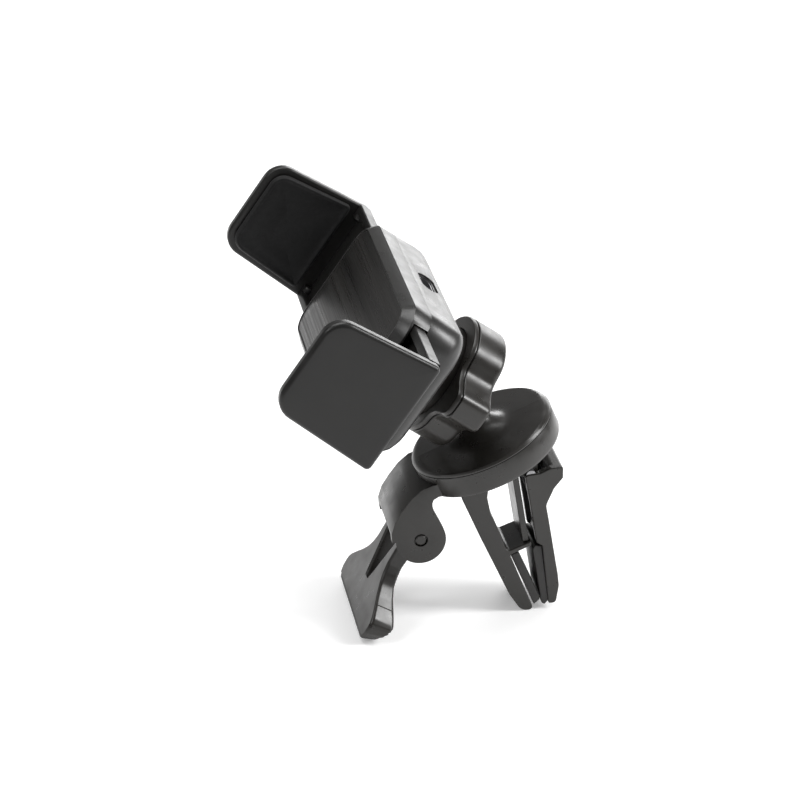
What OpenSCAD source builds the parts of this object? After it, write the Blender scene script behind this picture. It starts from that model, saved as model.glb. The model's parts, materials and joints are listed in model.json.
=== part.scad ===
// Car phone mount: clamping cradle head on a ball joint, with a spring clip
// and a folding support foot that hold it on an air vent.
// X runs along the clip towards the thumb lever, Y along the clamp arms, Z up.

/* [Head] */
// Width of the head across the clamp arms
head_w = 66; // [64:0.5:68]
// Length of the head along the phone
head_l = 36.4; // [36:0.2:38]
// Lean of the head's face from the horizontal
head_tilt = 55; // [53:1:56]
// Wall thickness of the two head shells
wall = 1.8; // [1.6:0.1:2]

/* [Clamp arms] */
// Distance between the outer faces of the two paddles, arms run out
arm_span = 110; // [108:1:114]
// Length of a paddle along the phone, at its root
paddle_l = 30.2; // [29:0.2:31]
// Height of a paddle above the underside of its slide
paddle_h = 28.9; // [26:0.2:30]

/* [Ball joint] */
// Diameter of the ball
ball_d = 17; // [17:0.1:17.2]
// Radius of the locking nut's body
nut_r = 15.8; // [15.4:0.1:16]
// Reach of the locking nut's two wings from its axis
wing_reach = 20.8; // [19:0.2:21]

/* [Clip] */
// Lean of the clip's round base from the horizontal
base_tilt = 23.5; // [23.5:0.5:24]
// Radius of the swivel disc
disc_r = 19; // [18.8:0.1:19.4]
// Width of the two jaws
jaw_w = 14; // [13:0.5:15]

/* [Foot] */
// Lean of the foot from the vertical
foot_angle = 29.3; // [28:0.1:30]
// Width of the foot across its pad
foot_w = 39; // [38:0.5:40]

/* [Hidden] */
$fn = 72;
eps = 0.01;

// Colours
charcoal = [0.33, 0.33, 0.32];
dark = [0.16, 0.16, 0.16];
rubber = [0.12, 0.12, 0.13];
steel = [0.70, 0.71, 0.73];

// Moves the outlines below along X, so that the origin is under the middle of the whole
centre_x = 0.36;

// The ball's centre is the origin of both the head frame and the base frame.
ball_at = [12.4 + centre_x, 0, 61.95];
ball_r = ball_d / 2;

// Heights in the head frame, whose +Z is the face's outward normal
face_z = 33.8;
plate_t = 1.2;
edge_z = 31.5;
seam_z = 26.8;
rear_z = 15;
floor_z = rear_z + 1.5;
corner_r = 7;
bevel = 2.6;
plate_l = head_l - 2 * bevel - 0.2;
plate_w = head_w - 2 * bevel - 0.6;

// Arms
slide_z = 27.3;
web_t = 1.4;
rim_z = 30.7;
rim_t = 2.4;
paddle_t = 3.4;
paddle_taper = 1.5;
pad_t = 1.5;
pad_inset = 1.6;
arm_gap = 0.25;
web_in = 24;

// Rack and pinion between the two arms
mod_rack = 1;
pinion_teeth = 12;
pinion_r = mod_rack * pinion_teeth / 2;
rack_z = 22.2;
rack_t = 4.6;
rack_w = 4.4;
rack_reach = 5;
rack_from = 30;
mod_gear = 0.5;
gear_teeth = 30;
motor_teeth = 10;
gear_r = mod_gear * gear_teeth / 2;
motor_r = mod_gear * motor_teeth / 2;
motor_y = gear_r + motor_r + 0.05;
axle_r = 1.2;
gear_z = 19.5;
gear_t = 2.2;

// Ball joint
liner_gap = 0.08;
cup_out = 10;
socket_cavity = cup_out + liner_gap;
socket_r = 12.2;
socket_end = 2.7;
nut_lo = -3.5;
nut_hi = 6.5;
nut_lip = -1.9;
stalk_r = 3.6;

// Heights in the base frame, whose +Z is the swivel axis
disc_z = -15.55;
disc_t = 1.1;
ridge_z = -13.7;
puck_top = -15.75;
puck_bottom = -22.05;
puck_r = 18.9;
hub_r = 6;
hub_end = -18.7;
cover_t = 1.45;
cover_r = 16.3;

// Pins of the clip, at [x, 0, z]
foot_pin_at = [1.3 + centre_x, 0, 24.4];
foot_pin_r = 1.7;
jaw_pin_at = [30.2 + centre_x, 0, 38.3];
jaw_pin_r = 1.2;
pin_gap = 0.05;
arm_w = 22;
ear_r = 6.4;
ear_t = 2.4;
knuckle_r = 4.2;
knuckle_w = 16.8;

// Foot, in its own frame: pin at the origin, -Z down the plate
foot_front = -3.4;
foot_back = 0.2;
pad_back = 1.2;
heel_t = 0.8;
heel_z = -(foot_pin_at.z - pad_back * sin(foot_angle)) / cos(foot_angle);

module head_frame() {
    translate(ball_at)
        rotate([0, -head_tilt, 0])
            children();
}

module base_frame() {
    translate(ball_at)
        rotate([0, -base_tilt, 0])
            children();
}

module foot_frame() {
    translate(foot_pin_at)
        rotate([0, foot_angle, 0])
            children();
}

// A rounded rectangle, x by y, made of true arcs
module round_rect(x, y, r) {
    square([x - 2 * r, y], center = true);
    square([x, y - 2 * r], center = true);
    for (sx = [-1, 1], sy = [-1, 1])
        translate([sx * (x / 2 - r), sy * (y / 2 - r)])
            circle(r);
}

module slab(x, y, r, z0, z1) {
    translate([0, 0, z0])
        linear_extrude(z1 - z0)
            round_rect(x, y, r);
}

// A box between two corners
module block(a, b) {
    translate(a)
        cube(b - a);
}

// An outline in the XZ plane, w wide and centred on Y = 0
module side_plate(points, w) {
    translate([centre_x, w / 2, 0])
        rotate([90, 0, 0])
            linear_extrude(w)
                polygon(points);
}

// A cylinder along Y, centred on Y = 0
module rod_y(at, r, w) {
    translate([at.x, w / 2, at.z])
        rotate([90, 0, 0])
            cylinder(r = r, h = w);
}

// A spur gear outline with straight-sided teeth
module gear_2d(m, teeth) {
    rp = m * teeth / 2;
    ro = rp + 0.9 * m;
    rr = rp - 1.15 * m;
    step = 360 / teeth;
    polygon([for (i = [0:teeth - 1], k = [0:3])
        let (
            r = (k == 0 || k == 3) ? rr : ro,
            a = step * i + step * [-0.34, -0.12, 0.12, 0.34][k]
        )
        r * [cos(a), sin(a)]]);
}

// A pan-head screw: head's seat at the origin, shank down -Z
module screw(r_head, h_head, r, length) {
    difference() {
        cylinder(r = r_head, h = h_head, $fn = 36);
        translate([0, 0, h_head - 0.4])
            for (turn = [0, 90])
                rotate(turn)
                    translate([-r_head * 0.6, -0.25, 0])
                        cube([r_head * 1.2, 0.5, 1]);
    }
    translate([0, 0, -length])
        cylinder(r = r, h = length + eps, $fn = 36);
}

// ---- Head ----

module head_corners(x, y) {
    for (sx = [-1, 1], sy = [-1, 1])
        translate([sx * x, sy * y, 0])
            children();
}

boss_x = head_l / 2 - 5.2;
boss_y = 20;
boss_r = 2.1;
boss_top = seam_z - 0.8;

module front_bezel() {
    color(charcoal)
        head_frame()
            difference() {
                union() {
                    slab(head_l, head_w, corner_r, seam_z, edge_z);
                    hull() {
                        slab(head_l, head_w, corner_r, edge_z - eps, edge_z);
                        slab(plate_l + 1, plate_w + 1, corner_r - 2, face_z - eps, face_z);
                    }
                }
                slab(plate_l + 0.2, plate_w + 0.2, 4.6, face_z - plate_t - 0.2, face_z + 1);
                slab(plate_l - 1.6, plate_w - 1.6, 4, rim_z + 0.2, face_z + 1);
                slab(head_l - 2 * wall, head_w - 2 * wall, corner_r - wall, seam_z - 1, rim_z + 0.6);
                for (s = [-1, 1])
                    block([-paddle_l / 2 - arm_gap, s * head_w / 2 - 4, seam_z - 1],
                        [paddle_l / 2 + arm_gap, s * head_w / 2 + 4, rim_z + arm_gap]);
            }
    color(charcoal)
        head_frame()
            for (turn = [0, 180])
                rotate(turn)
                    screw_tab();
}

// Tab on the bezel that a housing screw pulls on
module screw_tab() {
    inner = head_l / 2 - wall;
    difference() {
        union() {
            block([boss_x, boss_y - boss_r, boss_top + 0.02], [inner - 0.05, boss_y + boss_r, seam_z + 0.25]);
            block([boss_x, boss_y - boss_r, seam_z], [inner + 0.8, boss_y + boss_r, seam_z + 0.25]);
            translate([boss_x, boss_y, boss_top + 0.02])
                cylinder(r = boss_r, h = seam_z + 0.25 - boss_top - 0.02);
        }
        translate([boss_x, boss_y, boss_top - 1])
            cylinder(r = 0.85, h = 4, $fn = 36);
    }
}

module face_plate() {
    color([0.42, 0.41, 0.39])
        head_frame()
            slab(plate_l, plate_w, 4.5, face_z - plate_t - 0.1, face_z - 0.1);
}

module rear_shell_outer() {
    hull() {
        slab(head_l, head_w, corner_r, 20, seam_z);
        for (a = [15:15:90])
            slab(head_l - 7 * (1 - cos(a)), head_w - 10 * (1 - cos(a)), corner_r,
                20 - (20 - rear_z) * sin(a), 20);
    }
}

port_z = 22.1;
port_w = 9.3;
port_h = 3.7;

module port_outline(w, h, x0, x1) {
    for (s = [-1, 1])
        translate([x0, s * (w - h) / 2, port_z])
            rotate([0, 90, 0])
                cylinder(r = h / 2, h = x1 - x0, $fn = 36);
    block([x0, -(w - h) / 2, port_z - h / 2], [x1, (w - h) / 2, port_z + h / 2]);
}

module rear_housing() {
    color(charcoal)
        head_frame()
            difference() {
                union() {
                    difference() {
                        rear_shell_outer();
                        slab(head_l - 2 * wall, head_w - 2 * wall, corner_r - wall, 19, seam_z + 1);
                        slab(head_l - 8, head_w - 11, corner_r - 2, floor_z, 19 + eps);
                    }
                    translate([0, 0, floor_z - eps])
                        cylinder(r = 2.6, h = 2.5 + eps);
                    for (s = [-1, 1])
                        translate([s * boss_x, s * boss_y, floor_z - eps])
                            cylinder(r = boss_r, h = boss_top + eps - floor_z);
                }
                port_outline(port_w, port_h, head_l / 2 - 4, head_l / 2 + 1);
                port_outline(port_w + 1.2, port_h + 1.2, head_l / 2 - 0.5, head_l / 2 + 1);
                translate([0, 0, rear_z + 0.5])
                    cylinder(r = axle_r + pin_gap, h = 5, $fn = 36);
                for (s = [-1, 1])
                    translate([s * boss_x, s * boss_y, rear_z - 1]) {
                        cylinder(r = 0.85, h = 13, $fn = 36);
                        cylinder(r = 1.4, h = 2.2, $fn = 36);
                    }
                for (a = [45:90:315])
                    rotate(a)
                        translate([10.5, 0, rear_z - 1])
                            cylinder(r = 1.15, h = 3, $fn = 36);
            }
}

module housing_screws() {
    color(steel)
        head_frame()
            for (s = [-1, 1])
                translate([s * boss_x, s * boss_y, rear_z + 1.18])
                    rotate([180, 0, 0])
                        screw(1.3, 0.9, 0.8, 10.6);
}

// ---- Clamp arms ----

// Outline of a paddle in its own plane: x along the phone, y up from the slide
module paddle_2d(grow, low, r) {
    top = slide_z + paddle_h + grow;
    half = paddle_l / 2 + grow;
    polygon(concat(
        [[-half, low], [half, low]],
        [for (a = [0:10:90 - eps])
            [half - paddle_taper - r + r * cos(a), top - r + r * sin(a)]],
        [for (a = [90:10:180])
            [-half + paddle_taper + r + r * cos(a), top - r + r * sin(a)]]));
}

module paddle_slab(grow, low, r, y0, y1) {
    translate([0, y1, 0])
        rotate([90, 0, 0])
            linear_extrude(y1 - y0)
                paddle_2d(grow, low, r);
}

// The arm on the +Y side. Its rack runs on the -X side of the pinion.
module clamp_arm() {
    out = arm_span / 2;
    back = out - paddle_t;
    difference() {
        union() {
            paddle_slab(0, slide_z, 5.6, back, out);
            block([-paddle_l / 2, web_in, slide_z], [paddle_l / 2, back + eps, slide_z + web_t]);
            for (s = [-1, 1])
                block([s * (paddle_l - rim_t) / 2 - rim_t / 2, web_in, slide_z],
                    [s * (paddle_l - rim_t) / 2 + rim_t / 2, back + eps, rim_z]);
            translate([0, back, slide_z + web_t])
                rotate([0, 90, 0])
                    cylinder(r = 2.2, h = paddle_l - 2, center = true, $fn = 36);
        }
        paddle_slab(-pad_inset, slide_z + 5, 4.2, back - 1, back + 0.9);
        block([-paddle_l / 2 - 1, back - 4, slide_z - 4], [paddle_l / 2 + 1, back + 4, slide_z]);
    }
    rack_bar();
}

module rack_bar() {
    low = -pinion_r - 1.15 * mod_rack - rack_w + 1;
    tooth = PI * mod_rack;
    first = -rack_reach;
    block([low, first, rack_z], [-pinion_r - 1.2 * mod_rack, rack_from, rack_z + rack_t]);
    block([low, web_in + 0.5, rack_z + rack_t - eps],
        [-pinion_r - 1.2 * mod_rack, rack_from, slide_z + eps]);
    for (k = [-1:7])
        translate([0, (k + 0.5) * tooth, rack_z])
            linear_extrude(rack_t)
                polygon([
                    [-pinion_r - 1.25 * mod_rack, -0.34 * tooth],
                    [-pinion_r + 0.85 * mod_rack, -0.12 * tooth],
                    [-pinion_r + 0.85 * mod_rack, 0.12 * tooth],
                    [-pinion_r - 1.25 * mod_rack, 0.34 * tooth]]);
}

module far_arm() {
    color(charcoal)
        head_frame()
            clamp_arm();
}

module near_arm() {
    color(charcoal)
        head_frame()
            rotate([0, 0, 180])
                clamp_arm();
}

// Rubber pad on the +Y paddle, with a thicker lip at the free end
module arm_pad() {
    back = arm_span / 2 - paddle_t;
    lip = slide_z + paddle_h - pad_inset - 7;
    paddle_slab(-pad_inset - 0.1, slide_z + 5.1, 4.1, back - 0.6, back + 0.85);
    intersection() {
        paddle_slab(-pad_inset - 0.1, lip, 4.1, back - 2.6, back);
        translate([-20, 0, 0])
            rotate([90, 0, 90])
                linear_extrude(40)
                    polygon([[back, lip], [back - 0.6, lip], [back - 2.4, lip + 8], [back, lip + 8]]);
    }
}

module far_arm_pad() {
    color(rubber)
        head_frame()
            arm_pad();
}

module near_arm_pad() {
    color(rubber)
        head_frame()
            rotate([0, 0, 180])
                arm_pad();
}

// ---- Clamp drive ----

module pinion() {
    color([0.85, 0.84, 0.80])
        head_frame()
            difference() {
                union() {
                    translate([0, 0, rack_z])
                        linear_extrude(rack_t - 0.2)
                            gear_2d(mod_rack, pinion_teeth);
                    translate([0, 0, gear_z])
                        linear_extrude(gear_t)
                            gear_2d(mod_gear, gear_teeth);
                    translate([0, 0, gear_z])
                        cylinder(r = 3.6, h = rack_z - gear_z + 0.5);
                }
                translate([0, 0, gear_z - 1])
                    cylinder(r = axle_r + pin_gap, h = 12, $fn = 36);
            }
}

module pinion_axle() {
    color(steel)
        head_frame()
            translate([0, 0, rear_z + 0.6])
                cylinder(r = axle_r, h = 11.8, $fn = 36);
}

module motor_gear() {
    color([0.85, 0.84, 0.80])
        head_frame()
            translate([0, motor_y, gear_z])
                difference() {
                    rotate(180 / motor_teeth)
                        linear_extrude(gear_t)
                            gear_2d(mod_gear, motor_teeth);
                    translate([0, 0, -1])
                        cylinder(r = 0.8, h = 5, $fn = 36);
                }
}

module gear_motor() {
    color(steel)
        head_frame() {
            translate([0, motor_y + 5, gear_z + gear_t + 0.3])
                linear_extrude(4.9)
                    round_rect(9.6, 15, 2);
            translate([0, motor_y, gear_z - 0.2])
                cylinder(r = 0.75, h = gear_t + 1, $fn = 36);
        }
}

module charging_coil() {
    color([0.72, 0.45, 0.24])
        head_frame()
            difference() {
                slab(27.6, 44, 12, face_z - 2.4, face_z - 1.5);
                slab(13, 29, 5, face_z - 3, face_z);
            }
}

module ferrite_sheet() {
    color([0.25, 0.25, 0.27])
        head_frame()
            slab(28.6, 46, 4, face_z - 2.85, face_z - 2.45);
}

module circuit_board() {
    color([0.10, 0.32, 0.18])
        head_frame()
            difference() {
                union() {
                    translate([0, -6.5, 0])
                        slab(27, 37, 2.6, 17.8, 18.8);
                    for (y = [-22, -16])
                        block([-8, y, 18.8 - eps], [-2, y + 4, 19.9]);
                    for (x = [2, 6])
                        block([x, -22, 18.8 - eps], [x + 2.4, -13, 20.6]);
                }
                translate([0, 0, 17])
                    cylinder(r = 3, h = 3);
                translate([-boss_x, -boss_y, 17])
                    cylinder(r = boss_r + 0.4, h = 3);
            }
}

module usb_socket() {
    color(steel)
        head_frame()
            difference() {
                union() {
                    port_outline(8.9, 3.3, 11, head_l / 2 - 0.7);
                    block([11.2, -4, 18.8], [13.6, 4, port_z]);
                }
                difference() {
                    port_outline(8.3, 2.7, 12, head_l / 2 + 1);
                    block([11, -3.3, port_z - 0.35], [16.2, 3.3, port_z + 0.35]);
                }
            }
}

// ---- Ball joint ----

module ball_socket() {
    color(dark)
        head_frame()
            difference() {
                union() {
                    translate([0, 0, socket_end])
                        cylinder(r = socket_r, h = rear_z - socket_end);
                    translate([0, 0, rear_z - 1.8])
                        cylinder(r = 13.8, h = 1.8);
                }
                sphere(r = socket_cavity);
                for (a = [45:90:315])
                    rotate(a)
                        translate([10.5, 0, rear_z - 4.6])
                            cylinder(r = 1.05, h = 6, $fn = 36);
            }
}

module socket_screws() {
    color(steel)
        head_frame()
            for (a = [45:90:315])
                rotate(a)
                    translate([10.5, 0, floor_z + 0.02])
                        screw(1.9, 1.1, 1, 5.8);
}

module friction_cup() {
    color(rubber)
        head_frame()
            difference() {
                sphere(r = cup_out);
                sphere(r = ball_r + liner_gap);
                block([-20, -20, -20], [20, 20, 4.2]);
            }
}

module friction_ring() {
    color([0.80, 0.79, 0.75])
        head_frame()
            difference() {
                translate([0, 0, nut_lip + 0.1])
                    cylinder(r = 11.6, h = 4);
                sphere(r = ball_r + liner_gap);
            }
}

// The nut's outline: two flat-tipped wings, and a shallow valley on each side of them
module nut_2d() {
    polygon([for (a = [0:4:356])
        let (dip = min([for (w = [57, 123, 237, 303]) abs(a - w)]))
        (nut_r + 0.3 - 1.9 * exp(-pow(dip / 10, 2))) * [cos(a), sin(a)]]);
    for (t = [0, 180])
        rotate(t)
            polygon([[-7.4, 11.6], [7.4, 11.6], [6.1, 13.6], [5.2, 15.4], [4.4, 17.4],
                [3.9, wing_reach - 1.6], [3.4, wing_reach - 0.5], [2.5, wing_reach],
                [-2.5, wing_reach], [-3.4, wing_reach - 0.5], [-3.9, wing_reach - 1.6],
                [-4.4, 17.4], [-5.2, 15.4], [-6.1, 13.6]]);
}

module locking_nut() {
    color(charcoal)
        head_frame()
            difference() {
                intersection() {
                    translate([0, 0, nut_lo])
                        linear_extrude(nut_hi - nut_lo)
                            nut_2d();
                    translate([0, 0, nut_lo])
                        rotate_extrude()
                            polygon([[0, 0], [wing_reach - 2, 0], [wing_reach + 0.6, 1.4],
                                [wing_reach + 0.6, nut_hi - nut_lo - 1.4],
                                [wing_reach - 2, nut_hi - nut_lo], [0, nut_hi - nut_lo]]);
                }
                translate([0, 0, nut_lip])
                    cylinder(r = socket_r + pin_gap, h = 20);
                sphere(r = ball_r + 0.12);
            }
}

module ball_stud() {
    color(charcoal)
        base_frame()
            difference() {
                union() {
                    sphere(r = ball_r, $fn = 96);
                    rotate_extrude()
                        polygon([[0, -4], [stalk_r, -4], [stalk_r, -8.6], [3.9, -9.8], [4.5, -11],
                            [5.4, -12.2], [6.6, -13.1], [8, -13.8], [8, disc_z + 0.5], [0, disc_z + 0.5]]);
                    intersection() {
                        rotate_extrude()
                            polygon([[0, disc_z], [disc_r, disc_z], [disc_r, disc_z + disc_t * 0.5],
                                [disc_r - 0.5, disc_z + disc_t], [disc_r - 1.6, ridge_z], [0, ridge_z]]);
                        rotate([90, 0, 90])
                            translate([0, 0, -20])
                                linear_extrude(40)
                                    polygon([[-20, disc_z - 1], [20, disc_z - 1], [20, ridge_z - 1],
                                        [0, ridge_z], [-20, ridge_z - 1]]);
                    }
                    translate([0, 0, hub_end])
                        cylinder(r = hub_r, h = disc_z - hub_end + 0.5);
                }
                translate([0, 0, hub_end - 1])
                    cylinder(r = 1.55, h = 7, $fn = 36);
            }
}

module swivel_washer() {
    color(steel)
        base_frame()
            translate([0, 0, hub_end - 0.85])
                difference() {
                    cylinder(r = 8.4, h = 0.8);
                    translate([0, 0, -1])
                        cylinder(r = 1.6, h = 3, $fn = 36);
                }
}

module swivel_screw() {
    color(steel)
        base_frame()
            translate([0, 0, hub_end - 0.87])
                rotate([180, 0, 0])
                    screw(2.8, 0.9, 1.5, 5.6);
}

// ---- Clip ----

cover_screw_r = 12.6;

module clip_base() {
    arm_outline = [[8.5, 39.8], [4.4, 39.4], [1.6, 38.4], [-1, 36.1], [-3.4, 32.9], [-5.3, 29.8],
        [-6.2, 26.8], [-6, 24.2], [1.3, 24.4], [7.6, 25], [7, 27.4], [5.6, 30.3], [4.5, 32.5], [4.1, 34.2],
        [4.5, 35.4], [5.8, 36.2], [8.3, 36.5], [10, 37.4]];
    arm_hollow = [[-4, 25.8], [-3.3, 28.9], [-1.7, 31.8], [0.2, 34.4], [2.4, 36.2], [3.6, 35.6],
        [3.4, 33], [12, 30], [12, 15], [-9, 15], [-9, 25.8]];
    color(charcoal)
        difference() {
            union() {
                base_frame()
                    translate([0, 0, puck_bottom])
                        rotate_extrude()
                            polygon([[0, 0], [puck_r - 1, 0], [puck_r - 0.3, 0.4], [puck_r, 1.2],
                                [puck_r, puck_top - puck_bottom], [0, puck_top - puck_bottom]]);
                side_plate(arm_outline, arm_w);
                rod_y(foot_pin_at, ear_r, arm_w);
            }
            side_plate(arm_hollow, arm_w - 2 * ear_t);
            rod_y(foot_pin_at, knuckle_r + 0.5, arm_w - 2 * ear_t);
            rod_y(foot_pin_at, foot_pin_r + pin_gap, arm_w + 2);
            base_frame() {
                translate([0, 0, puck_bottom - 1])
                    cylinder(r = hub_r + pin_gap, h = 9);
                translate([0, 0, puck_bottom - 1])
                    cylinder(r = cover_r + 0.1, h = cover_t + 1.05);
                difference() {
                    translate([0, 0, puck_bottom])
                        cylinder(r = 14.6, h = 3.7);
                    for (a = [45:90:315])
                        rotate(a)
                            translate([cover_screw_r, 0, puck_bottom])
                                cylinder(r = 2.4, h = 8, $fn = 36);
                }
                for (a = [45:90:315])
                    rotate(a)
                        translate([cover_screw_r, 0, puck_bottom])
                            cylinder(r = 1.05, h = 5, $fn = 36);
            }
        }
}

// Round cover under the base, with the fixed jaw and the hinge lugs
module fixed_jaw() {
    jaw_outline = [[11.1, 38.5], [12.6, 32.6], [17.3, 21.8], [21.9, 12], [25.1, 4.8], [27, 2.2],
        [29.4, 0.3], [30.9, 0], [31.4, 0.8], [31, 2.4], [25.1, 16.2], [30.6, 18.6], [30.6, 19.6],
        [24.3, 17.4], [22, 23.7], [19.9, 28.4], [19, 32.9], [19.4, 35.6], [20.9, 42.7]];
    leg_outline = [[24.2, 45], [25.1, 40], [28.5, 19.4], [30.1, 19.5], [26.6, 41], [26, 45]];
    lug_outline = [[27.8, 38.3], [32.6, 38.3], [32.1, 47.7], [25.9, 45]];
    color(charcoal)
        difference() {
            union() {
                base_frame()
                    translate([0, 0, puck_bottom])
                        cylinder(r = cover_r, h = cover_t);
                side_plate(jaw_outline, jaw_w);
                side_plate(leg_outline, jaw_w - 2);
                difference() {
                    union() {
                        side_plate(lug_outline, 9.6);
                        rod_y(jaw_pin_at, 2.5, 9.6);
                    }
                    side_plate([[20, 30], [40, 30], [40, 44.6], [27, 43.4], [20, 43]], 5.2);
                }
            }
            base_frame()
                translate([-30, -30, puck_bottom + cover_t])
                    cube([60, 60, 10]);
            rod_y(jaw_pin_at, jaw_pin_r + pin_gap, 20);
            base_frame()
                for (a = [45:90:315])
                    rotate(a)
                        translate([cover_screw_r, 0, puck_bottom - 1]) {
                            cylinder(r = 1.15, h = 4, $fn = 36);
                            cylinder(r = 2.1, h = 1.6, $fn = 36);
                        }
        }
}

module jaw_screws() {
    color(steel)
        base_frame()
            for (a = [45:90:315])
                rotate(a)
                    translate([cover_screw_r, 0, puck_bottom + 0.58])
                        rotate([180, 0, 0])
                            screw(1.9, 0.55, 1, 3.6);
}

module fixed_jaw_pad() {
    color(rubber)
        side_plate([[25.2, 16.15], [27.2, 16.9], [33.1, 3.4], [33, 2.6], [31.6, 1.4], [31.2, 2.2]], jaw_w - 0.6);
}

module moving_jaw() {
    flange = [[28.4, 38.3], [30.5, 27.9], [31.9, 19.2], [33.4, 18.2], [35.5, 2.2], [36.4, 1.4],
        [37.3, 3.2], [37.9, 6.4], [37.7, 9.6], [35, 25.5], [33.4, 33], [32.4, 38.3]];
    lever = [[32.4, 38.7], [35, 39.9], [37.8, 40.2], [38.5, 39.6], [38.4, 37], [36.2, 34.2], [34.8, 31],
        [34.1, 27], [33, 31]];
    inner = [[20, 36], [20, 19.4], [32.6, 19.4], [33.5, 25.3], [32.2, 30.6], [32.2, 33.5], [34, 36]];
    color(charcoal)
        difference() {
            union() {
                side_plate(flange, jaw_w);
                rod_y(jaw_pin_at, 2.6, jaw_w);
                side_plate(lever, jaw_w);
            }
            side_plate(inner, 10.2);
            rod_y(jaw_pin_at, 3.5, 10.2);
            side_plate([[20, 34], [33.6, 34], [34, 42], [20, 42]], 10.2);
            rod_y(jaw_pin_at, jaw_pin_r + pin_gap + 0.01, jaw_w - 0.6);
        }
}

module moving_jaw_pad() {
    color(rubber)
        side_plate([[30.95, 17.3], [31.6, 18.4], [33.3, 18.1], [35.4, 2.3], [34.4, 1.2], [33.6, 1.6],
            [33.4, 2.8]], jaw_w - 0.6);
}

module jaw_pin() {
    color(steel)
        rod_y(jaw_pin_at, jaw_pin_r, jaw_w - 0.8);
}

// A round wire swept along a path whose tangents stay square to Y
module wire(path, r, sides) {
    n = len(path);
    function tangent(i) = let (v = path[min(i + 1, n - 1)] - path[max(i - 1, 0)]) v / norm(v);
    function across(i) = let (v = cross(tangent(i), [0, 1, 0])) v / norm(v);
    points = [for (i = [0:n - 1], k = [0:sides - 1])
        let (u = across(i), v = cross(tangent(i), u), a = 360 * k / sides)
        path[i] + r * (cos(a) * u + sin(a) * v)];
    sides_faces = [for (i = [0:n - 2], k = [0:sides - 1])
        let (a = i * sides + k, b = i * sides + (k + 1) % sides)
        [a, a + sides, b + sides, b]];
    ends = [[for (k = [0:sides - 1]) k],
        [for (k = [sides - 1:-1:0]) (n - 1) * sides + k]];
    polyhedron(points, concat(sides_faces, ends), convexity = 10);
}

module torsion_spring() {
    coil_r = 2;
    half = 1.9;
    from = 191.5;
    to = 202 + 360 * 4;
    steps = 96;
    helix = [for (i = [0:steps])
        let (a = from + (to - from) * i / steps)
        [coil_r * cos(a), -half + 2 * half * i / steps, coil_r * sin(a)]];
    leg_up = [helix[0].x - 0.2 * 5.2, -half, helix[0].z + 0.98 * 5.2];
    leg_down = [helix[steps].x + 0.375 * 10.2, half, helix[steps].z - 0.927 * 10.2];
    color(steel)
        translate(jaw_pin_at)
            wire(concat([leg_up], helix, [leg_down]), 0.4, 8);
}

// ---- Foot ----

module foot_outline() {
    half = foot_w / 2;
    corner_r = 3.4;
    right = [[8.3, 1.6], [8.4, -10], [9.1, -12.4], [10.6, -14.8], [13, -17.1], [16.2, -19.6], [18.4, -21.4]];
    corner = [for (a = [10:-10:-60])
        [half - corner_r + corner_r * cos(a), heel_z + heel_t + 3.1 + corner_r * sin(a)]];
    outline = concat(right, corner, [[half - 3.8, heel_z + heel_t]]);
    polygon(concat(outline, [for (i = [len(outline) - 1:-1:0]) [-outline[i].x, outline[i].y]]));
}

module foot_layer(x0, x1) {
    translate([x0, 0, 0])
        rotate([90, 0, 90])
            linear_extrude(x1 - x0)
                children();
}

module foot() {
    color(charcoal)
        foot_frame()
            difference() {
                union() {
                    foot_layer(foot_front, foot_back)
                        foot_outline();
                    rod_y([0, 0, 0], knuckle_r, knuckle_w - 0.4);
                }
                foot_layer(-8, 8)
                    polygon([[-5, 5], [-5, -5.6], [-1.2, -18], [-0.5, -18.8], [0.5, -18.8], [1.2, -18],
                        [5, -5.6], [5, 5]]);
                rod_y([0, 0, 0], foot_pin_r + pin_gap + 0.01, knuckle_w + 2);
            }
}

// Rubber sole on the back of the foot and round its end, ribbed across
module foot_pad() {
    color(rubber)
        foot_frame()
            difference() {
                union() {
                    foot_layer(foot_back, pad_back)
                        intersection() {
                            foot_outline();
                            translate([-25, -40])
                                square([50, 26]);
                        }
                    translate([0, foot_w / 2 - 4, 0])
                        rotate([90, 0, 0])
                            linear_extrude(foot_w - 8)
                                polygon([[foot_front, heel_z + heel_t], [foot_front, heel_z - 1.3],
                                    [foot_front + 1, heel_z - 1.4], [pad_back, heel_z], [pad_back, heel_z + heel_t]]);
                }
                for (k = [0:6])
                    translate([pad_back, 0, heel_z + 2.4 + 1.5 * k])
                        rotate([0, 45, 0])
                            cube([0.6, 60, 0.6], center = true);
                foot_layer(-8, 8)
                    polygon([[-1.4, -13], [-0.5, -18.9], [0.5, -18.9], [1.4, -13]]);
            }
}

module foot_pin() {
    color(steel)
        rod_y(foot_pin_at, foot_pin_r, arm_w + 0.1);
}

front_bezel();
face_plate();
rear_housing();
housing_screws();
near_arm();
far_arm();
near_arm_pad();
far_arm_pad();
pinion();
pinion_axle();
motor_gear();
gear_motor();
charging_coil();
ferrite_sheet();
circuit_board();
usb_socket();
ball_socket();
socket_screws();
friction_cup();
friction_ring();
locking_nut();
ball_stud();
swivel_washer();
swivel_screw();
clip_base();
fixed_jaw();
jaw_screws();
fixed_jaw_pad();
moving_jaw();
moving_jaw_pad();
jaw_pin();
torsion_spring();
foot();
foot_pin();
foot_pad();
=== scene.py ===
"""Car phone mount: finishes, fine shapes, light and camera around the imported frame."""

import json
import math

import bmesh
import bpy
from mathutils import Matrix, Vector


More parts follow.
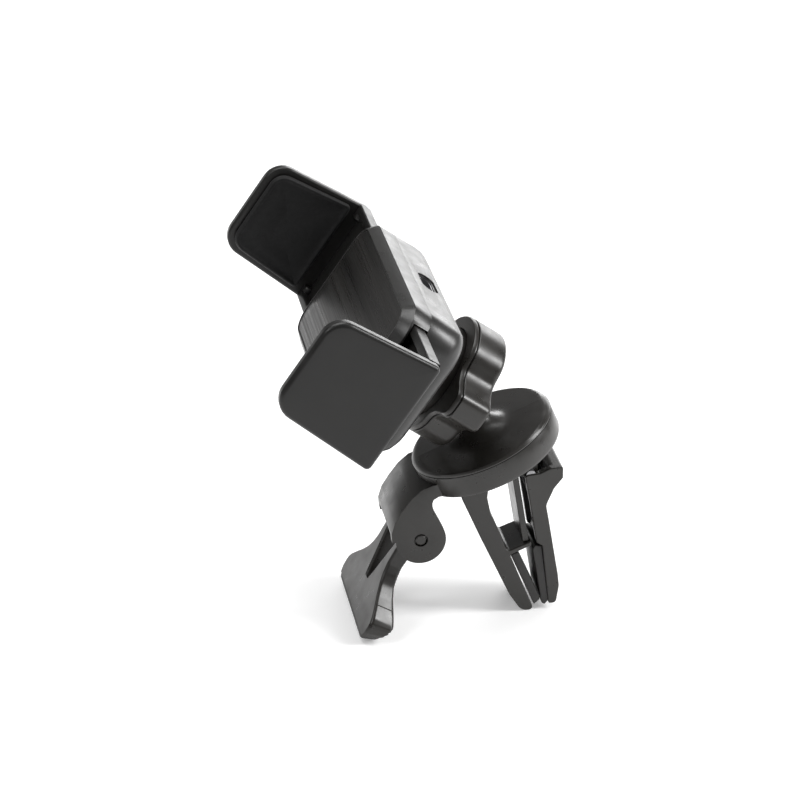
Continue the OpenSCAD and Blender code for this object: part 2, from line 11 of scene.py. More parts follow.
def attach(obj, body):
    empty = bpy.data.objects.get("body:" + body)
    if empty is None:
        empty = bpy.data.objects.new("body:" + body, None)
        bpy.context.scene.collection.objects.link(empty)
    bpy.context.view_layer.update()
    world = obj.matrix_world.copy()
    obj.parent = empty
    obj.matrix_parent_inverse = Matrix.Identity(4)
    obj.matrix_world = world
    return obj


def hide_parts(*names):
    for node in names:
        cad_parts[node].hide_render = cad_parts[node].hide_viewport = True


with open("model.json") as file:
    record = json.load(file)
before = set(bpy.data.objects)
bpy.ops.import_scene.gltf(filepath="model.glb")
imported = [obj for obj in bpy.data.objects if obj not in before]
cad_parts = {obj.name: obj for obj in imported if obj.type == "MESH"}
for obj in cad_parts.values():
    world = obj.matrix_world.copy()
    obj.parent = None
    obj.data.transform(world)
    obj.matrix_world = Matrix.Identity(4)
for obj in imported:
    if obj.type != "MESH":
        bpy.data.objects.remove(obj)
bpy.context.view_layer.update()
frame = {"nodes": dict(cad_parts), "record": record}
NODES = frame["nodes"]
MM = 0.001

# ---------------------------------------------------------------- frames, mm

BALL = Vector((12.76, 0, 61.95))
FOOT_PIN = Vector((1.66, 0, 24.4))


def leaning(origin, degrees):
    """A frame at origin, in mm, turned about Y; its meshes come out in metres."""
    turn = Matrix.Rotation(math.radians(degrees), 4, "Y")
    return Matrix.Scale(MM, 4) @ Matrix.Translation(origin) @ turn


HEAD_LEAN, BASE_LEAN, FOOT_LEAN = -55, -23.5, 29.3
HEAD = leaning(BALL, HEAD_LEAN)
BASE = leaning(BALL, BASE_LEAN)
FOOT = leaning(FOOT_PIN, FOOT_LEAN)
WORLD = Matrix.Scale(MM, 4)

# ---------------------------------------------------------------- materials


def new_material(name):
    material = bpy.data.materials.new(name)
    material.use_nodes = True
    tree = material.node_tree
    return material, tree, tree.nodes["Principled BSDF"]


def object_space(tree):
    """Coordinates in metres, fixed to the piece."""
    return tree.nodes.new("ShaderNodeTexCoord").outputs["Object"]


def noise(tree, scale, detail=4.0, stretch=(1, 1, 1), rough=0.55):
    """Noise in object space, so scale is waves per metre."""
    mapping = tree.nodes.new("ShaderNodeMapping")
    mapping.inputs["Scale"].default_value = stretch
    texture = tree.nodes.new("ShaderNodeTexNoise")
    texture.inputs["Scale"].default_value = scale
    texture.inputs["Detail"].default_value = detail
    texture.inputs["Roughness"].default_value = rough
    tree.links.new(object_space(tree), mapping.inputs["Vector"])
    tree.links.new(mapping.outputs["Vector"], texture.inputs["Vector"])
    return texture.outputs["Fac"]


def spread(tree, fac, low, high, a=0.3, b=0.7):
    """Maps a 0..1 value to low..high."""
    node = tree.nodes.new("ShaderNodeMapRange")
    node.inputs["From Min"].default_value = a
    node.inputs["From Max"].default_value = b
    node.inputs["To Min"].default_value = low
    node.inputs["To Max"].default_value = high
    tree.links.new(fac, node.inputs["Value"])
    return node.outputs["Result"]


def shade_mix(tree, fac, dark, light):
    ramp = tree.nodes.new("ShaderNodeValToRGB")
    ramp.color_ramp.elements[0].position = 0.3
    ramp.color_ramp.elements[0].color = (*dark, 1)
    ramp.color_ramp.elements[1].position = 0.7
    ramp.color_ramp.elements[1].color = (*light, 1)
    tree.links.new(fac, ramp.inputs["Fac"])
    return ramp.outputs["Color"]


def bump(tree, shader, fac, strength, distance):
    node = tree.nodes.new("ShaderNodeBump")
    node.inputs["Strength"].default_value = strength
    node.inputs["Distance"].default_value = distance
    tree.links.new(fac, node.inputs["Height"])
    tree.links.new(node.outputs["Normal"], shader.inputs["Normal"])


def plastic(name, dark, light, rough, grain=2600, depth=0.00002, strength=0.18, gloss=0.5):
    """Moulded plastic: fine spark-eroded grain, faint cloudy tone, uneven sheen."""
    material, tree, shader = new_material(name)
    cloud = noise(tree, 60, 3)
    fine = noise(tree, grain, 2)
    tree.links.new(shade_mix(tree, cloud, dark, light), shader.inputs["Base Color"])
    tree.links.new(
        spread(tree, noise(tree, 240, 4), rough[0], rough[1]),
        shader.inputs["Roughness"],
    )
    shader.inputs["Specular IOR Level"].default_value = gloss
    bump(tree, shader, fine, strength, depth)
    return material


def brushed_plate(name):
    """Dark plate with hairlines along Y and soft streaks in its sheen."""
    material, tree, shader = new_material(name)
    hair = noise(tree, 900, 3, (2.6, 0.02, 2.6))
    streak = noise(tree, 160, 3, (1, 0.05, 1))
    tree.links.new(
        shade_mix(tree, streak, (0.012, 0.0115, 0.011), (0.034, 0.032, 0.030)),
        shader.inputs["Base Color"],
    )
    tree.links.new(spread(tree, hair, 0.22, 0.44), shader.inputs["Roughness"])
    shader.inputs["Metallic"].default_value = 0.35
    bump(tree, shader, hair, 0.5, 0.00002)
    return material


def soft_rubber(name):
    material, tree, shader = new_material(name)
    cell = tree.nodes.new("ShaderNodeTexVoronoi")
    cell.inputs["Scale"].default_value = 2200
    tree.links.new(object_space(tree), cell.inputs["Vector"])
    dust = noise(tree, 900, 6, rough=0.7)
    tree.links.new(
        shade_mix(tree, dust, (0.003, 0.003, 0.0031), (0.007, 0.007, 0.0072)),
        shader.inputs["Base Color"],
    )
    tree.links.new(
        spread(tree, noise(tree, 300, 4), 0.5, 0.72), shader.inputs["Roughness"]
    )
    shader.inputs["Sheen Weight"].default_value = 0.06
    shader.inputs["Specular IOR Level"].default_value = 0.24
    bump(tree, shader, cell.outputs["Distance"], 0.3, 0.00003)
    return material


def metal(name, colour, rough):
    material, tree, shader = new_material(name)
    tone = noise(tree, 700, 5)
    dark = tuple(c * 0.8 for c in colour)
    tree.links.new(shade_mix(tree, tone, dark, colour), shader.inputs["Base Color"])
    tree.links.new(
        spread(tree, noise(tree, 1500, 4), rough, rough + 0.16),
        shader.inputs["Roughness"],
    )
    shader.inputs["Metallic"].default_value = 1
    bump(tree, shader, noise(tree, 4000, 3), 0.15, 0.00001)
    return material


def wound_copper(name):
    material, tree, shader = new_material(name)
    wave = tree.nodes.new("ShaderNodeTexWave")
    wave.wave_type = "RINGS"
    wave.inputs["Scale"].default_value = 220
    tree.links.new(object_space(tree), wave.inputs["Vector"])
    tree.links.new(
        shade_mix(tree, wave.outputs["Fac"], (0.28, 0.10, 0.035), (0.62, 0.27, 0.10)),
        shader.inputs["Base Color"],
    )
    shader.inputs["Metallic"].default_value = 1
    shader.inputs["Roughness"].default_value = 0.34
    bump(tree, shader, wave.outputs["Fac"], 0.5, 0.0001)
    return material


MATERIALS = {
    "shell": plastic("shell", (0.017, 0.0165, 0.016), (0.022, 0.0215, 0.0205), (0.26, 0.38)),
    "plate": brushed_plate("plate"),
    "arm": plastic(
        "arm", (0.0085, 0.0082, 0.0078), (0.0115, 0.011, 0.0105), (0.28, 0.40), gloss=0.36
    ),
    "pad": soft_rubber("pad"),
    "clip": plastic("clip", (0.0150, 0.0138, 0.0122), (0.0205, 0.0188, 0.0166), (0.26, 0.38)),
    "steel": metal("steel", (0.34, 0.34, 0.35), 0.28),
    "gear": plastic("gear", (0.62, 0.61, 0.56), (0.72, 0.71, 0.67), (0.35, 0.45)),
    "coil": wound_copper("coil"),
    "grip": plastic("grip", (0.014, 0.0135, 0.013), (0.019, 0.018, 0.017), (0.42, 0.54), 1800),
    "ferrite": plastic("ferrite", (0.04, 0.04, 0.045), (0.07, 0.07, 0.075), (0.5, 0.6)),
    "board": plastic("board", (0.01, 0.09, 0.04), (0.02, 0.14, 0.06), (0.3, 0.4)),
    "ring": plastic("ring", (0.55, 0.54, 0.50), (0.66, 0.65, 0.60), (0.35, 0.45)),
}
SLOT_OF = {s["node"]: s["material_slot"] for s in frame["record"]["subparts"]}


def finish_with(obj, slot):
    obj.data.materials.clear()
    obj.data.materials.append(MATERIALS[slot])


def smooth(obj, degrees=32):
    obj.data.shade_smooth()
    obj.data.set_sharp_from_angle(angle=math.radians(degrees))


WELD_M = 0.000002


def soften(obj, width, segments=3, degrees=32):
    """Rounds every edge sharper than the angle by width, in mm."""
    weld = obj.modifiers.new("weld", "WELD")
    weld.merge_threshold = WELD_M
    round_edges = obj.modifiers.new("edges", "BEVEL")
    round_edges.width = width * MM
    round_edges.segments = segments
    round_edges.limit_method = "ANGLE"
    round_edges.angle_limit = math.radians(degrees)
    round_edges.harden_normals = True
    round_edges.use_clamp_overlap = True


# Edge widths, in mm, of the CAD nodes that no finer piece replaces.
EDGE_MM = {
    "front_bezel": 0.3,
    "face_plate": 0.25,
    "rear_housing": 0.2,
    "ball_socket": 0.3,
    "clip_base": 0.4,
    "fixed_jaw_pad": 0.3,
    "moving_jaw_pad": 0.3,
    "jaw_pin": 0.2,
}
for name, obj in NODES.items():
    finish_with(obj, SLOT_OF[name])
    smooth(obj)
    if name in EDGE_MM:
        soften(obj, EDGE_MM[name])

# ---------------------------------------------------------------- mesh building, mm

MERGE_MM = 0.0005
EDGE_STEPS = 4


def add_piece(name, matrix, build, body, slot, replaces, degrees=32, crease=None):
    """Makes one mesh of closed shells; build(bm) fills it in the given frame, in mm."""
    bm = bmesh.new()
    build(bm)
    bmesh.ops.remove_doubles(bm, verts=bm.verts, dist=MERGE_MM)
    bmesh.ops.recalc_face_normals(bm, faces=bm.faces)
    bmesh.ops.transform(bm, matrix=matrix, verts=bm.verts)
    mesh = bpy.data.meshes.new(name)
    bm.to_mesh(mesh)
    bm.free()
    obj = bpy.data.objects.new(name, mesh)
    bpy.context.scene.collection.objects.link(obj)
    finish_with(obj, slot)
    smooth(obj, degrees)
    if crease:
        for edge in mesh.edges:
            if all(crease(mesh.vertices[i].co) for i in edge.vertices):
                edge.use_edge_sharp = True
    flat = obj.modifiers.new("flat", "WEIGHTED_NORMAL")
    flat.keep_sharp = True
    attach(obj, body)
    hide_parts(*replaces)


def stack(bm, loops, closed=False):
    """Joins loops of the same count; caps the ends, or closes the stack on itself."""
    rows = [[bm.verts.new(p) for p in loop] for loop in loops]
    count = len(rows[0])
    last = len(rows) if closed else len(rows) - 1
    for k in range(last):
        low, high = rows[k], rows[(k + 1) % len(rows)]
        for i in range(count):
            j = (i + 1) % count
            bm.faces.new((low[i], low[j], high[j], high[i]))
    if not closed:
        bm.faces.new(rows[0])
        bm.faces.new(rows[-1])


def offset(points, inset):
    """Moves each point of a closed counter-clockwise outline inwards by inset."""
    moved = []
    count = len(points)
    for i, here in enumerate(points):
        before = Vector(here) - Vector(points[i - 1])
        after = Vector(points[(i + 1) % count]) - Vector(here)
        a = Vector((-before.y, before.x)).normalized()
        b = Vector((-after.y, after.x)).normalized()
        way = (a + b).normalized()
        moved.append(tuple(Vector(here) + way * inset / max(0.5, way.dot(a))))
    return moved


def rounded(points, radii, steps=6):
    """A polygon with a fillet of its own radius at every corner."""
    out = []
    count = len(points)
    for i, corner in enumerate(points):
        here = Vector(corner)
        back = (Vector(points[i - 1]) - here).normalized()
        ahead = (Vector(points[(i + 1) % count]) - here).normalized()
        radius = radii[i] if isinstance(radii, (list, tuple)) else radii
        half = math.acos(max(-1, min(1, back.dot(ahead)))) / 2
        reach = radius / math.tan(half)
        centre = here + (back + ahead).normalized() * radius / math.sin(half)
        start, end = here + back * reach, here + ahead * reach
        a = math.atan2(start.y - centre.y, start.x - centre.x)
        b = math.atan2(end.y - centre.y, end.x - centre.x)
        turn = (b - a + math.pi) % (2 * math.pi) - math.pi
        for k in range(steps + 1):
            t = a + turn * k / steps
            out.append((centre.x + radius * math.cos(t), centre.y + radius * math.sin(t)))
    return out


def quarter(steps):
    """Angles that cut a quarter turn into equal steps."""
    return [math.pi / 2 * k / steps for k in range(steps + 1)]


def round_edges(low, high, edge_low, edge_high, steps=EDGE_STEPS):
    """(inset, level) pairs from low to high, with a round edge of its own radius at each."""
    start = [
        (edge_low * (1 - math.sin(a)), low + edge_low * (1 - math.cos(a))) for a in quarter(steps)
    ]
    return start + [
        (edge_high * (1 - math.cos(a)), high - edge_high * (1 - math.sin(a)))
        for a in quarter(steps)
    ]


def rim(outline, low, high, edge_low, edge_high, place):
    """Loops of a plate between low and high, with round edges of the two radii."""
    pairs = round_edges(low, high, edge_low, edge_high)
    return [[place(p, level) for p in offset(outline, inset)] for inset, level in pairs]


def along_x(point, level):
    """Places a point of an outline drawn in Y and Z at a level along X."""
    return (level, point[0], point[1])


def along_y(point, level):
    """Places a point of an outline drawn in X and Z at a level along Y."""
    return (point[0], level, point[1])


def circle(radius, count):
    turns = [2 * math.pi * i / count for i in range(count)]
    return [(radius * math.cos(t), radius * math.sin(t)) for t in turns]


def lathe(profile, count=128):
    """Loops of a turned shape from (radius, z) pairs."""
    return [[(x, y, z) for x, y in circle(r, count)] for r, z in profile]


# ---------------------------------------------------------------- clamp arms

SLIDE_Z = 27.3
PADDLE_L, PADDLE_H, PADDLE_T, PADDLE_TAPER = 30.2, 28.9, 3.4, 1.95
ARM_OUT = 55.0
ARM_BACK = ARM_OUT - PADDLE_T
BACK_EDGE, FRONT_EDGE = 0.7, 1.15
DOME = [(2.4, ARM_OUT - 0.09), (4.5, ARM_OUT - 0.04), (7.5, ARM_OUT)]
DOME_FALL = 0.14
WEB_IN, WEB_T, RIM_Z, RIM_T = 24.0, 1.4, 30.7, 2.4
RACK_Z, RACK_T, RACK_FROM, RACK_REACH = 22.2, 4.6, 30.0, 5.0
RACK_LOW_X, RACK_FACE_X, TOOTH_TIP_X = -10.55, -7.2, -5.15
TOOTH = math.pi
TOOTH_ROOT_SHARE, TOOTH_TIP_SHARE = 0.34, 0.12
LUMP_R, LUMP_HALF, LUMP_EDGE = 1.7, 1.9, 0.6
HALF_TURN = Matrix.Rotation(math.pi, 4, "Z")


def paddle_outline(inset=0.0, low=SLIDE_Z, corner=5.6, foot=1.3):
    """The paddle's outline drawn inset; the count of points never changes."""
    half, top = PADDLE_L / 2 - inset, SLIDE_Z + PADDLE_H - inset
    low += inset
    points = [(-half, low), (half, low), (half - PADDLE_TAPER, top), (-half + PADDLE_TAPER, top)]
    corner, foot = max(0.4, corner - inset), max(0.15, foot - inset)
    return rounded(points, [foot, foot, corner, corner], 8)


def box(bm, low, high, edge):
    """A block with small round edges along Y."""
    x0, y0, z0 = low
    x1, y1, z1 = high
    outline = rounded([(x0, z0), (x1, z0), (x1, z1), (x0, z1)], edge, 3)
    stack(bm, [[(x, y, z) for x, z in outline] for y in (y0, y1)])


def arm(bm):
    """The arm on the +Y side: domed paddle, U-shaped slide and rack."""
    profile = round_edges(ARM_BACK, ARM_OUT - DOME_FALL, BACK_EDGE, FRONT_EDGE, 5) + DOME
    stack(bm, [[(x, y, z) for x, z in paddle_outline(inset)] for inset, y in profile])
    half, end, base = PADDLE_L / 2, ARM_BACK + 0.4, SLIDE_Z + 0.01
    box(bm, (-half + 0.02, WEB_IN, base), (half - 0.02, end, SLIDE_Z + WEB_T), 0.3)
    for side in (-1, 1):
        edge = side * (half - RIM_T / 2)
        box(bm, (edge - RIM_T / 2, WEB_IN, base), (edge + RIM_T / 2, end, RIM_Z), 0.55)
        lump = rim(circle(LUMP_R, 36), -LUMP_HALF, LUMP_HALF, LUMP_EDGE, LUMP_EDGE, along_x)
        at = Vector((side * (half - 2.1), ARM_BACK - 0.3, RIM_Z - 1.75))
        stack(bm, [[Vector(p) + at for p in loop] for loop in lump])
    rack_top = RACK_Z + RACK_T
    box(bm, (RACK_LOW_X, -RACK_REACH, RACK_Z), (RACK_FACE_X, RACK_FROM, rack_top), 0.2)
    foot_low = (RACK_LOW_X, WEB_IN + 0.5, rack_top - 0.2)
    box(bm, foot_low, (RACK_FACE_X, RACK_FROM, SLIDE_Z + 0.1), 0.2)
    root, tip = TOOTH_ROOT_SHARE * TOOTH, TOOTH_TIP_SHARE * TOOTH
    for k in range(-1, 8):
        y = (k + 0.5) * TOOTH
        tooth = [
            (RACK_FACE_X - 0.05, y - root),
            (TOOTH_TIP_X, y - tip),
            (TOOTH_TIP_X, y + tip),
            (RACK_FACE_X - 0.05, y + root),
        ]
        stack(bm, [[(a, b, z) for a, b in tooth] for z in (RACK_Z, rack_top)])


# How far the pad's loops lie in from its edge, and how far they stand off the paddle.
PAD_LEVELS = [
    (0.0, 0.02), (0.0, 0.45), (0.15, 0.8), (0.45, 0.98), (0.8, 0.98), (1.15, 0.8),
    (1.5, 0.62), (2.3, 0.56), (3.4, 0.55), (4.6, 0.55), (6.2, 0.55), (8.0, 0.55),
]
PAD_GAP, LIP_FROM_TOP, LIP_RAMP, LIP_RISE = 1.7, 8.6, 1.3, 0.85


def pad(bm):
    """The pad on the +Y side: beaded edge, flat field, raised lip with a crease."""
    lip_from = SLIDE_Z + PADDLE_H - LIP_FROM_TOP
    loops = []
    for inset, up in PAD_LEVELS:
        loop = []
        for x, z in paddle_outline(inset + PAD_GAP, SLIDE_Z + 3.4, 5.8, 3.0):
            t = max(0.0, min(1.0, (z - lip_from) / LIP_RAMP))
            swell = t * t * (3 - 2 * t) * LIP_RISE
            rise = up + (swell if inset > 0.3 else swell * 0.75)
            loop.append((x, ARM_BACK - rise, z))
        loops.append(loop)
    stack(bm, loops)
    bmesh.ops.triangulate(bm, faces=[f for f in bm.faces if len(f.verts) > 4])


for label, place, rides_on in (
    ("far", HEAD, "far_clamp"),
    ("near", HEAD @ HALF_TURN, "near_clamp"),
):
    add_piece(label + "_arm_moulding", place, arm, rides_on, "arm", [label + "_arm"])
    add_piece(label + "_grip_pad", place, pad, rides_on, "pad", [label + "_arm_pad"], 50)

# ---------------------------------------------------------------- locking nut

NUT_LOW, NUT_HIGH, NUT_LIP = -3.5, 6.5, -1.9
NUT_BORE, NUT_BALL_BORE = 12.25, 8.45
# The nut's radius by the angle from the middle of a wing, in degrees.
WING = [
    (0, 20.75), (6.9, 20.85), (9.5, 20.3), (11.5, 19.5), (14.2, 17.8), (18.7, 16.1),
    (24.2, 14.9), (30, 14.35), (36, 14.6), (45, 15.6), (52, 15.95), (60, 16.05), (90, 16.05),
]


def nut_radius(degrees_from_wing):
    for (a, ra), (b, rb) in zip(WING, WING[1:]):
        if degrees_from_wing <= b:
            return ra + (rb - ra) * (degrees_from_wing - a) / (b - a)
    return WING[-1][1]


def nut_outline(count=288, passes=5):
    """The nut's outline, with the corners of its table of radii smoothed."""
    reach = []
    for i in range(count):
        t = 360 * i / count
        reach.append(nut_radius(abs((t % 180) - 90)))
    for _ in range(passes):
        reach = [
            (reach[i - 1] + 2 * reach[i] + reach[(i + 1) % count]) / 4 for i in range(count)
        ]
    turns = [2 * math.pi * i / count for i in range(count)]
    return [(r * math.cos(t), r * math.sin(t)) for r, t in zip(reach, turns)]


def nut(bm):
    outline = nut_outline()
    turns = [math.atan2(y, x) for x, y in outline]
    outer = [
        (0.95, NUT_LOW), (0.5, NUT_LOW + 0.12), (0.18, NUT_LOW + 0.42), (0.02, NUT_LOW + 0.9),
        (0.0, NUT_LOW + 1.6), (0.0, 4.75), (0.12, 4.9), (0.5, 5.0), (0.5, 5.3), (0.12, 5.4),
        (0.0, 5.55), (0.1, 6.0), (0.35, 6.35), (0.75, NUT_HIGH),
    ]
    loops = [[(x, y, z) for x, y in offset(outline, inset)] for inset, z in outer]
    inner = [
        (NUT_BORE + 0.3, NUT_HIGH), (NUT_BORE, NUT_HIGH - 0.3), (NUT_BORE, NUT_LIP),
        (NUT_BALL_BORE + 0.15, NUT_LIP), (NUT_BALL_BORE - 0.1, NUT_LOW + 0.3), (8.3, NUT_LOW),
    ]
    loops += [[(r * math.cos(t), r * math.sin(t), z) for t in turns] for r, z in inner]
    stack(bm, loops, closed=True)


add_piece("locking_nut_moulding", HEAD, nut, "nut", "clip", ["locking_nut"])

# ---------------------------------------------------------------- ball stud

BALL_R, DISC_R, DISC_Z, RIDGE_Z = 8.5, 19.0, -15.55, -13.7
# The disc's face is a shallow roof with its ridge along X.
RIDGE_FALL, ROOF_FROM, ROOF_BELOW, ROOF_ABOVE = 0.05, 8.5, -13.6, DISC_Z + 0.4
BALL_LOW_Z, NECK_R = -7.6, 3.9
RIDGE_NEAR_M, RIDGE_FROM_BALL_M = 0.0000005, 0.0162


def stud(bm):
    ball = [
        (BALL_R * math.sin(a), BALL_R * math.cos(a))
        for a in (math.radians(d) for d in (1, *range(6, 152, 5)))
    ]
    neck = [
        (3.75, -8.1), (3.62, -8.8), (3.7, -9.5), (3.95, -10.3), (4.4, -11.1), (5.1, -11.95),
        (6.0, -12.75), (7.0, -13.3), (8.0, -13.62), (9.2, -13.8),
    ]
    disc = [
        (11.0, -13.7), (14.0, -13.7), (16.6, -13.72), (17.5, -13.9), (18.2, -14.25),
        (18.7, -14.65), (18.95, -15.05), (DISC_R, -15.3), (18.9, DISC_Z),
    ]
    loops = lathe([p for p in ball if p[1] > BALL_LOW_Z or p[0] > NECK_R] + neck + disc)
    for loop in loops:
        for i, (x, y, z) in enumerate(loop):
            if math.hypot(x, y) > ROOF_FROM and ROOF_ABOVE < z < ROOF_BELOW:
                loop[i] = (x, y, min(z, RIDGE_Z - RIDGE_FALL * abs(y)))
    stack(bm, loops)


def on_ridge(point):
    """Whether a point of the mesh, in metres, is on the disc's ridge."""
    return abs(point.y) < RIDGE_NEAR_M and (point - BALL * MM).length > RIDGE_FROM_BALL_M


add_piece("ball_stud_moulding", BASE, stud, "stud", "clip", ["ball_stud"], 24, on_ridge)

# ---------------------------------------------------------------- vent clip jaws

CENTRE_X = 0.36
JAW_W = 14.0
COVER_Z = (-22.05, -20.6)
CHEEK_INNER = 5.1
SPINE_EDGE, LEG_EDGE, LUG_EDGE, CHEEK_EDGE = 0.36, 0.22, 0.2, 0.34
LUG_INNER, LUG_OUTER = 2.6, 4.8


def plate_xz(bm, points, radii, y0, y1, edge0, edge1):
    """A plate drawn in X and Z, between y0 and y1, with filleted corners and round edges."""
    outline = rounded([(x + CENTRE_X, z) for x, z in points], radii, 6)
    if sum(a[0] * b[1] - b[0] * a[1] for a, b in zip(outline, outline[1:] + outline[:1])) < 0:
        outline.reverse()
    stack(bm, rim(outline, y0, y1, edge0, edge1, along_y))


def fixed_jaw(bm):
    half = JAW_W / 2
    spine = [
        (11.1, 38.9), (12.6, 32.6), (17.3, 21.8), (25.1, 4.8), (28.2, 0.05), (31.6, 0.05),
        (25.1, 16.2), (30.6, 18.6), (30.6, 19.8), (24.3, 17.4), (22, 23.7), (19.9, 28.4),
        (19, 32.9), (19.4, 36.6), (20.9, 42.7),
    ]
    radii = [0.4, 2, 4, 4, 2.6, 0.9, 0.5, 0.45, 0.45, 1.0, 4, 4, 3, 3, 0.4]
    plate_xz(bm, spine, radii, -half, half, SPINE_EDGE, SPINE_EDGE)
    leg = [(24.2, 45), (25.1, 40), (28.5, 19.3), (30.1, 19.5), (26.6, 41), (26, 45)]
    plate_xz(bm, leg, 0.3, -half + 1, half - 1, LEG_EDGE, LEG_EDGE)
    lug = [(28.0, 37.0), (32.4, 37.0), (32.3, 39.6), (31.6, 47.2), (26.4, 45.2)]
    for side in (-1, 1):
        low, high = sorted((side * LUG_INNER, side * LUG_OUTER))
        plate_xz(bm, lug, [1.4, 1.4, 1.0, 0.3, 0.3], low, high, LUG_EDGE, LUG_EDGE)
    low, high = COVER_Z
    cover = [
        (0.01, high), (16.2, high), (16.2, low + 0.35), (15.9, low + 0.06), (15.5, low), (0.01, low)
    ]
    to_world = Matrix.Translation(BALL) @ Matrix.Rotation(math.radians(BASE_LEAN), 4, "Y")
    stack(bm, [[to_world @ Vector(p) for p in loop] for loop in lathe(cover, 96)])


def moving_jaw(bm):
    half, cheek = JAW_W / 2, CHEEK_INNER
    back = [
        (35.35, 1.5), (37.3, 1.5), (38.05, 6.4), (37.7, 9.6), (35, 25.5), (34.25, 29.6),
        (36.2, 34.2), (38.45, 37), (38.45, 40.15), (35, 39.9),
    ]
    back_radii = [0.5, 1.1, 3, 5, 6, 2.5, 3, 0.6, 0.6, 2]
    front = [(32.4, 38.75), (28.6, 38.4), (30.5, 27.9), (31.9, 19.2), (33.4, 18.2)]
    front_radii = [0.4, 0.8, 5, 0.4, 0.4]
    for side in (-1, 1):
        outer = (CHEEK_EDGE, 0.0) if side < 0 else (0.0, CHEEK_EDGE)
        low, high = sorted((side * cheek, side * half))
        plate_xz(bm, back + front, back_radii + front_radii, low, high, *outer)
    core = [
        (34.2, 38), (33.9, 35.6), (32.4, 33.2), (32.4, 30.6), (33.4, 25.3), (32.5, 19.5),
        (33.4, 18.2),
    ]
    plate_xz(bm, back + core, back_radii + [0.4, 0.6, 0.6, 1, 1, 0.3, 0.3], -cheek, cheek, 0, 0)


add_piece("fixed_jaw_moulding", WORLD, fixed_jaw, "clip", "clip", ["fixed_jaw"])
add_piece("moving_jaw_moulding", WORLD, moving_jaw, "jaw", "clip", ["moving_jaw"])

# ---------------------------------------------------------------- support foot

FOOT_FRONT = -3.55
# Tables by the height z along the foot, from the hinge down.
FOOT_BACK = [
    (2.0, 1.0), (-5.5, 1.0), (-10.0, 0.6), (-14.8, 0.6), (-17.0, 1.1), (-19.0, 1.9), (-20.5, 2.5),
    (-21.8, 2.85), (-23.2, 2.75), (-24.6, 2.2), (-25.8, 1.55), (-27.5, 1.1),
]
FOOT_HALF = [
    (2.0, 8.3), (-10.0, 8.4), (-12.4, 9.1), (-14.8, 10.6), (-17.1, 13.0), (-19.6, 16.2),
    (-21.4, 18.3), (-22.4, 19.15), (-23.4, 19.4), (-24.6, 19.25), (-25.6, 18.6), (-27.5, 17.2),
]
FOOT_SLOT = [(2.0, 5.0), (-5.6, 5.0), (-18.0, 1.2), (-18.8, 0.6)]
SOLE_TILT = 0.283
SERRATED_BELOW, TOOTH_PITCH, TOOTH_DEPTH = -22.4, 1.1, 0.42
UPPER_END, LOWER_END, LEVEL_STEP = -18.8, -25.75, 0.22
TILT_FROM, TILT_AT_X = 0.4, 1.2
KNUCKLE_INNER, KNUCKLE_OUTER, KNUCKLE_R, KNUCKLE_EDGE = 5.05, 8.2, 4.2, 0.35


def value_at(table, z):
    """Straight-line value of a table that runs from high z to low z."""
    if z >= table[0][0]:
        return table[0][1]
    for (za, a), (zb, b) in zip(table, table[1:]):
        if z >= zb:
            return a + (b - a) * (z - za) / (zb - za)
    return table[-1][1]


def foot_half(z):
    return value_at(FOOT_HALF, z)


def foot_slot(z):
    return value_at(FOOT_SLOT, z)


def bar(bm, levels, inner, outer, corner, inset=0.0, teeth=None):
    """Stacked round-cornered sections between inner(z) and outer(z) along Y.

    A level is its z, how far its section shrinks, and its tilt in z per mm of x.
    """
    loops = []
    for z, shrink, tilt in levels:
        back = value_at(FOOT_BACK, z) - inset - shrink
        if teeth and z < teeth:
            back -= TOOTH_DEPTH * abs(((z - teeth) / TOOTH_PITCH) % 1 - 0.5) * 2
        front = FOOT_FRONT + inset + shrink
        low, high = inner(z) + inset + shrink, outer(z) - inset - shrink
        section = rounded([(front, low), (back, low), (back, high), (front, high)], corner, 5)
        loops.append([(x, y, z + tilt * (x - TILT_AT_X)) for x, y in section])
    stack(bm, loops)


def knuckle(bm, y0, y1, radius):
    stack(bm, rim(circle(radius, 64), y0, y1, KNUCKLE_EDGE, KNUCKLE_EDGE, along_y))


def foot(bm):
    upper = [(z / 2, 0.0, 0.0) for z in range(3, -38, -1)] + [(UPPER_END, 0.0, 0.0)]
    bar(bm, upper, foot_slot, foot_half, 0.8)
    bar(bm, upper, lambda z: -foot_half(z), lambda z: -foot_slot(z), 0.8)
    drop = LOWER_END - UPPER_END
    count = int(-drop / LEVEL_STEP)
    lower = []
    for k in range(count + 1):
        tilt = SOLE_TILT * max(0.0, (k / count - TILT_FROM) / (1 - TILT_FROM))
        lower.append((UPPER_END + drop * k / count, 0.0, tilt))
    bar(bm, lower, lambda z: -foot_half(z), foot_half, 0.9, teeth=SERRATED_BELOW)
    for side in (-1, 1):
        knuckle(bm, *sorted((side * KNUCKLE_INNER, side * KNUCKLE_OUTER)), KNUCKLE_R)


def sole(bm):
    levels = [
        (z, shrink, SOLE_TILT)
        for z, shrink in ((-25.7, 0.0), (-26.3, 0.0), (-26.8, 0.12), (-27.1, 0.4), (-27.22, 0.75))
    ]
    bar(bm, levels, lambda z: -foot_half(z), foot_half, 0.9, 0.2)


def pin(bm):
    end, neck = 11.0, 10.1
    profile = [(0.01, -end), (1.15, -end), (1.38, -end + 0.2), (1.38, -neck), (1.68, -neck)]
    profile += [(r, -z) for r, z in reversed(profile)]
    stack(bm, [[along_y(p, level) for p in circle(r, 48)] for r, level in profile])


add_piece("foot_moulding", FOOT, foot, "foot", "clip", ["foot"], 40)
add_piece("foot_sole", FOOT, sole, "foot", "grip", ["foot_pad"])
add_piece("foot_pin_turned", FOOT, pin, "clip", "clip", ["foot_pin"])

# ---------------------------------------------------------------- floor, light, camera, m

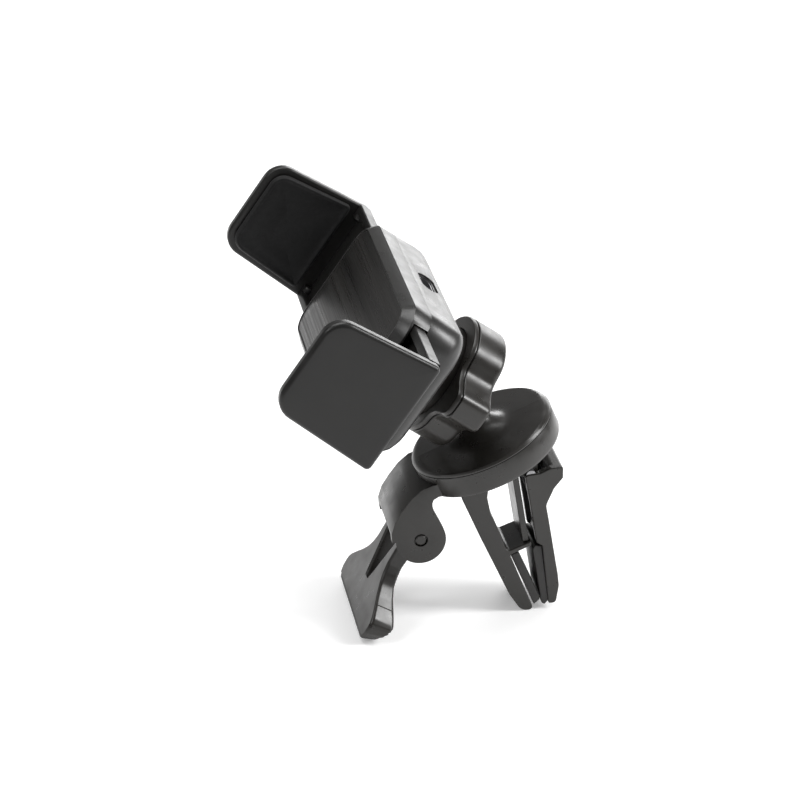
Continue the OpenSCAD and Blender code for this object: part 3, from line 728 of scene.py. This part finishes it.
FLOOR_SIZE, FLOOR_Z, FLOOR_GLOW = 12, -0.00002, 0.3
WORLD_STRENGTH = 0.25
LENS_MM, SENSOR_MM, CAMERA_AWAY = 135, 36, 0.75
MIDDLE = Vector((0, 0, 0.05))


def floor():
    bpy.ops.mesh.primitive_plane_add(size=FLOOR_SIZE, location=(0, 0, FLOOR_Z))
    plane = bpy.context.object
    plane.name = "floor"
    material, tree, shader = new_material("floor")
    tree.links.new(
        shade_mix(tree, noise(tree, 4, 2), (0.86, 0.86, 0.86), (0.88, 0.88, 0.88)),
        shader.inputs["Base Color"],
    )
    shader.inputs["Roughness"].default_value = 0.55
    shader.inputs["Emission Color"].default_value = (1, 1, 1, 1)
    shader.inputs["Emission Strength"].default_value = FLOOR_GLOW
    plane.data.materials.append(material)


def softbox(name, place, size, power):
    """A rectangular light aimed at the middle of the part; the power is in watts."""
    light = bpy.data.lights.new(name, "AREA")
    light.shape = "RECTANGLE"
    light.size, light.size_y = size
    light.energy = power
    lamp = bpy.data.objects.new(name, light)
    lamp.location = place
    lamp.rotation_euler = (MIDDLE - Vector(place)).to_track_quat("-Z", "Y").to_euler()
    bpy.context.scene.collection.objects.link(lamp)


floor()
softbox("key", (0.80, -0.20, 0.55), (0.30, 0.5), 8.5)
softbox("fill", (-0.7, -0.35, 0.8), (0.4, 0.4), 2.2)
softbox("top", (-0.1, 0.25, 1.2), (0.9, 0.9), 10.5)
softbox("back", (0.52, 1.0, 0.28), (0.7, 0.45), 4.0)

world = bpy.data.worlds.new("studio")
world.use_nodes = True
world.node_tree.nodes["Background"].inputs["Color"].default_value = (1, 1, 1, 1)
world.node_tree.nodes["Background"].inputs["Strength"].default_value = WORLD_STRENGTH
scene = bpy.context.scene
scene.world = world
scene.view_settings.view_transform = "Standard"

AIM = Vector((-1.9, 0, 58.5)) * MM
LOOK = Vector((0.1486, 0.9014, -0.4067)).normalized()
camera = bpy.data.objects.new("camera", bpy.data.cameras.new("camera"))
camera.data.type = "PERSP"
camera.data.lens = LENS_MM
camera.data.sensor_width = SENSOR_MM
camera.data.clip_start = 0.05
camera.location = AIM - LOOK * CAMERA_AWAY
camera.rotation_euler = LOOK.to_track_quat("-Z", "Y").to_euler()
scene.collection.objects.link(camera)
scene.camera = camera
